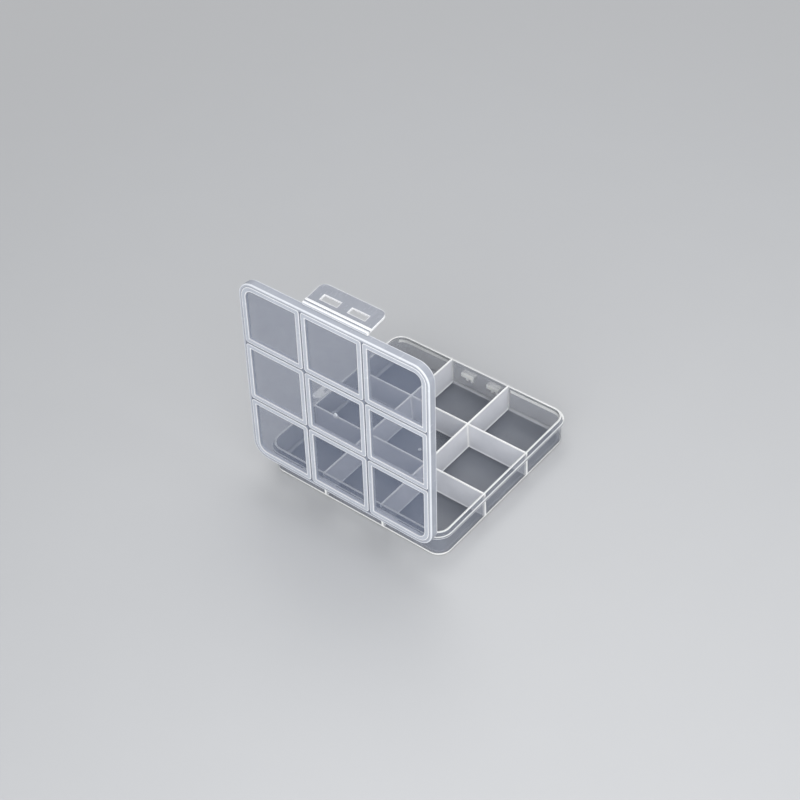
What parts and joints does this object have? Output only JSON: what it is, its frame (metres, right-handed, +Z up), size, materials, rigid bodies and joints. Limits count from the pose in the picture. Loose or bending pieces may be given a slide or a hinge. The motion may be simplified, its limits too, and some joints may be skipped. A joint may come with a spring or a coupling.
{
  "type": "compartment bead box",
  "caption": "Small clear plastic bead box: a flat compartment tray with a hinged lid of framed panels and a folding latch flap with two windows for the tray's catches.",
  "frame": {"origin": "centre of the tray's underside, in the plane that it rests on", "axes": "+Z up, +X to the right and +Y to the back: the latch and its catches are at the front (-Y), the lid's hinge is at the back (+Y) and the small lug is on the right (+X)"},
  "size_m": [0.0895, 0.0876, 0.0954],
  "materials": {
    "clear_floor": "clear polypropylene, slightly milky, smooth",
    "clear_wall": "clear polypropylene, slightly milky, smooth",
    "clear_divider": "clear polypropylene, slightly milky, smooth",
    "clear_lid": "clear polypropylene, slightly milky, fine satin",
    "clear_edge": "clear polypropylene edge that catches the light",
    "film_hinge": "thin flexed polypropylene film",
    "frosted_trim": "thicker polypropylene that looks frosted white"
  },
  "bodies": {
    "tray": {"tray_floor": "clear_floor", "tray_wall": "clear_wall", "tray_flange": "clear_edge", "divider_front": "clear_divider", "divider_back": "clear_divider", "divider_left_front": "clear_divider", "divider_left_middle": "clear_divider", "divider_left_back": "clear_divider", "divider_right_front": "clear_divider", "divider_right_middle": "clear_divider", "divider_right_back": "clear_divider", "catch_left": "frosted_trim", "catch_right": "frosted_trim", "side_lug": "clear_edge", "tray_gate_nub": "frosted_trim"},
    "lid": {"lid_plate": "clear_lid", "lid_skirt": "clear_edge", "latch_lip": "frosted_trim", "lid_gate_nub": "frosted_trim", "frame_front_left": "clear_edge", "frame_front_middle": "clear_edge", "frame_front_right": "clear_edge", "frame_middle_left": "clear_edge", "frame_middle_middle": "clear_edge", "frame_middle_right": "clear_edge", "frame_back_left": "clear_edge", "frame_back_middle": "clear_edge", "frame_back_right": "clear_edge", "hinge_web_left": "film_hinge", "hinge_web_right": "film_hinge"},
    "latch": {"latch_film": "film_hinge", "latch_bead": "frosted_trim", "latch_tab": "clear_lid"}
  },
  "joints": [
    {"name": "lid_hinge", "type": "hinge", "parent": "tray", "child": "lid", "pos_m": [0, 0.042, 0.01055], "axis": [-1, 0, 0], "range_deg": [-86.8, 93.2], "deforming": ["hinge_web_left", "hinge_web_right"]},
    {"name": "latch_hinge", "type": "hinge", "parent": "lid", "child": "latch", "pos_m": [0, 0.03753, 0.09408], "axis": [-1, 0, 0], "range_deg": [-10, 80], "deforming": ["latch_film"]}
  ]
}
